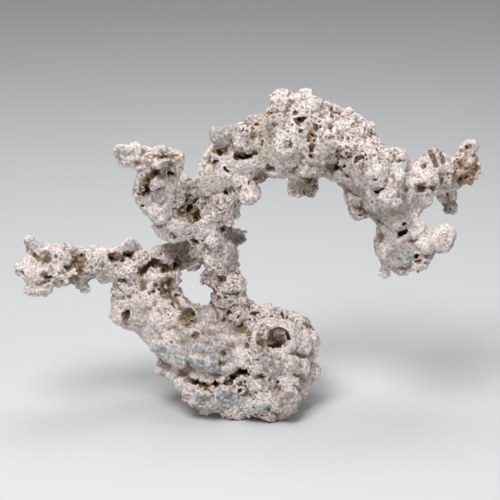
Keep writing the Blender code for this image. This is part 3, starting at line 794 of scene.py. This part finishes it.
def colours_of(points, field, skin):
    """The colour of each point of the crust, from how far it is sunk and from patches of staining and painted
    shade: painted highlights on small ridges, painted shade with dirt in fine pits and painted shadow in the
    deepest holes.
    """
    solid = np.clip(0.5 - field / STEP, 0, 1)
    hollow = {}
    for radius in HOLLOW_RADII:
        hollow[radius] = sample(blurred(solid, radius), points) - 0.5
    sunk = -sample(skin, points)
    patch = sample(noise(20.0), points)
    spot = sample(noise(7.0), points)
    speck = sample(noise(2.4), points)
    colour = mixed(CREAM, GREY, smoothstep(-0.5, 1.6, patch + 0.5 * spot + 0.4 * speck))
    colour = stained(colour, points, field, 0.6 * spot + 0.6 * speck)
    # Painted highlight: small ridges painted lighter, up to cream
    ridge_highlight = smoothstep(0.0, -0.12, hollow[1.0])
    colour = mixed(colour, np.minimum(CREAM, 1.35 * colour), 0.75 * ridge_highlight)
    # Painted shade with dirt: fine pits painted tan, in uneven patches; the patches also set where the brown dirt
    # lies
    dirt_and_shade_patches = 0.45 + 0.55 * smoothstep(-0.6, 0.9, patch + 0.5 * spot)
    colour = mixed(colour, TAN, 0.7 * dirt_and_shade_patches * smoothstep(0.0, 0.10, hollow[1.0] + 0.01 * spot))
    colour = mixed(colour, TAN, 0.5 * dirt_and_shade_patches * smoothstep(0.03, 0.13, hollow[2.0] + 0.02 * spot))
    stain = dirt_and_shade_patches * smoothstep(0.05, 0.2, hollow[4.5] + 0.035 * spot + 0.02 * speck)
    rust = mixed(BROWN * np.ones((len(points), 1)), TAN, 0.75 * smoothstep(-0.2, 1.4, speck + 0.5 * spot))
    # Where hollows take brown dirt and painted shadow: everywhere but the clean places
    dirt_and_shadow = 1 - 0.8 * covered(points, field, CLEAN, 0.6 * spot)
    colour = mixed(colour, rust, 0.92 * stain * dirt_and_shadow)
    deep = smoothstep(3.0, 8.0, sunk + 14 * hollow[9.0] + 1.2 * speck)
    colour = mixed(colour, rust, 0.75 * deep * smoothstep(0.0, 0.08, hollow[4.5]) * dirt_and_shadow)
    # Painted shadow: the deepest narrow holes painted near black
    dark = smoothstep(0.22, 0.36, hollow[4.5]) * smoothstep(3.5, 8.0, sunk)
    colour = mixed(colour, BLACK, 0.65 * dark * dirt_and_shadow)
    return np.clip(colour, 0, 0.9)


def nearest_node(points):
    """For each point, the number of the solid that it is nearest to."""
    best = np.full(len(points), np.inf, np.float32)
    owner = np.zeros(len(points), np.int32)
    for number, thing in enumerate(frame["nodes"].values()):
        corners, triangles = node_surface(thing)
        far = sample(distance_grid(corners, REACH, triangles=triangles), points)
        closer = far < best
        best[closer] = far[closer]
        owner[closer] = number
    return owner


def vertex_normals(points, quads):
    """The outward direction at each point, from the faces around it."""
    across = np.cross(points[quads[:, 2]] - points[quads[:, 0]], points[quads[:, 3]] - points[quads[:, 1]])
    normals = np.zeros((len(points), 3))
    for corner in range(4):
        for axis in range(3):
            normals[:, axis] += np.bincount(quads[:, corner], across[:, axis], len(points))
    return normals / (np.linalg.norm(normals, axis=1)[:, None] + 1e-12)


def piece(name, points, quads, normals, colours, material):
    """One shown piece of the crust."""
    used, where = np.unique(quads, return_inverse=True)
    corners = where.reshape(-1).astype(np.int32)
    mesh = bpy.data.meshes.new(name)
    mesh.vertices.add(len(used))
    mesh.vertices.foreach_set("co", (points[used] * MM).astype(np.float32).ravel())
    mesh.loops.add(len(corners))
    mesh.loops.foreach_set("vertex_index", corners)
    mesh.polygons.add(len(quads))
    mesh.polygons.foreach_set("loop_start", np.arange(0, len(corners), 4, dtype=np.int32))
    mesh.update(calc_edges=True)
    mesh.shade_smooth()
    mesh.normals_split_custom_set_from_vertices(normals[used].astype(np.float32))
    tint = mesh.attributes.new("tint", "FLOAT_COLOR", "POINT")
    rgba = np.ones((len(used), 4), np.float32)
    rgba[:, :3] = colours[used]
    tint.data.foreach_set("color", rgba.ravel())
    mesh.materials.append(material)
    thing = bpy.data.objects.new(name, mesh)
    bpy.context.scene.collection.objects.link(thing)
    return thing


def node_in(tree, kind, **values):
    """A new shader node, with its settings and the values of its inputs."""
    made = tree.nodes.new(kind)
    for key, value in values.items():
        if hasattr(made, key):
            setattr(made, key, value)
        else:
            made.inputs[key.replace("_", " ")].default_value = value
    return made


def stone_material():
    """Chalky stone: the colours painted on the crust, with fine mottling and grain."""
    material = bpy.data.materials.new("reef_stone")
    material.use_nodes = True
    tree = material.node_tree
    shader = tree.nodes["Principled BSDF"]
    shader.inputs["Roughness"].default_value = 0.93
    shader.inputs["Specular IOR Level"].default_value = 0.25
    place = tree.nodes.new("ShaderNodeTexCoord")
    tint = node_in(tree, "ShaderNodeAttribute", attribute_name="tint")

    mottle = node_in(tree, "ShaderNodeTexNoise", Scale=420.0, Detail=3.0, Roughness=0.65)
    tree.links.new(place.outputs["Object"], mottle.inputs["Vector"])
    ramp = node_in(tree, "ShaderNodeMapRange", From_Min=0.36, From_Max=0.6, To_Min=0.5, To_Max=1.08)
    tree.links.new(mottle.outputs["Fac"], ramp.inputs["Value"])
    shade = node_in(tree, "ShaderNodeVectorMath", operation="SCALE")
    tree.links.new(tint.outputs["Color"], shade.inputs[0])
    tree.links.new(ramp.outputs["Result"], shade.inputs["Scale"])
    tree.links.new(shade.outputs["Vector"], shader.inputs["Base Color"])

    bump = node_in(tree, "ShaderNodeBump", Strength=0.8, Distance=0.0009)
    tree.links.new(mottle.outputs["Fac"], bump.inputs["Height"])
    tree.links.new(bump.outputs["Normal"], shader.inputs["Normal"])
    return material


def flat_material(name, colour, roughness):
    """A material of one even colour."""
    material = bpy.data.materials.new(name)
    material.use_nodes = True
    shader = material.node_tree.nodes["Principled BSDF"]
    shader.inputs["Base Color"].default_value = (*colour, 1)
    shader.inputs["Roughness"].default_value = roughness
    return material


def floor():
    """A wide pale floor that the rock rests on."""
    bpy.ops.mesh.primitive_plane_add(size=30, location=(0, 6, -0.0004))
    ground = bpy.context.object
    ground.name = "floor"
    ground.data.materials.append(flat_material("floor_paint", (0.66, 0.67, 0.68), 0.85))


def area_light(name, place, size, power, aim=(0, 0, 0.15)):
    """A soft square light that faces the stone."""
    lamp = bpy.data.lights.new(name, "AREA")
    lamp.shape = "SQUARE"
    lamp.size = size
    lamp.energy = power
    thing = bpy.data.objects.new(name, lamp)
    thing.location = place
    thing.rotation_euler = (Vector(aim) - Vector(place)).to_track_quat("-Z", "Y").to_euler()
    bpy.context.scene.collection.objects.link(thing)


def studio():
    """Soft light from the upper left in front, one straight above, and a weak fill from the right."""
    world = bpy.data.worlds.new("studio")
    bpy.context.scene.world = world
    world.use_nodes = True
    world.node_tree.nodes["Background"].inputs["Color"].default_value = (0.86, 0.88, 0.9, 1)
    world.node_tree.nodes["Background"].inputs["Strength"].default_value = 0.3
    area_light("key", (-0.55, -1.1, 2.0), 1.0, 39)
    area_light("fill", (1.6, -1.2, 0.8), 1.4, 4)
    area_light("top", (0.1, 0.4, 1.8), 1.0, 12)


def camera():
    """The photograph's camera, so that the render lies over the photograph."""
    lens = bpy.data.cameras.new("camera")
    lens.sensor_width = SENSOR
    lens.lens = SENSOR / 2 * DISTANCE / IMAGE_MIDDLE
    lens.clip_end = 100
    eye = bpy.data.objects.new("camera", lens)
    eye.matrix_world = Matrix.Translation(EYE * MM) @ Matrix.Rotation(math.pi / 2 - ELEVATION, 4, "X")
    bpy.context.scene.collection.objects.link(eye)
    bpy.context.scene.camera = eye
    bpy.context.scene.view_settings.view_transform = "Standard"


def dress():
    """The crust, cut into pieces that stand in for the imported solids."""
    skin = whole_stone()
    field = crust(skin)
    under_floor = -samples_along(2)[None, None, :]
    field = np.maximum(field, under_floor)
    points, quads = surface_of(field)
    quads = biggest_body(points, quads.astype(np.int64))
    normals = vertex_normals(points, quads)
    colours = colours_of(points, field, skin)
    middles = points[quads].mean(axis=1)
    owner = nearest_node(middles)
    material = stone_material()
    for number, name in enumerate(frame["nodes"]):
        mine = quads[owner == number]
        parts = max(1, math.ceil(2 * len(mine) / MOST_TRIANGLES))
        order = np.argsort(points[mine[:, 0], 0], kind="stable")
        for part, chosen in enumerate(np.array_split(order, parts)):
            label = name + "_crust" if parts == 1 else f"{name}_crust_{part + 1}"
            thing = piece(label, points, mine[np.sort(chosen)], normals, colours, material)
            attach(thing, "root")
            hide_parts(name)


dress()
floor()
studio()
camera()
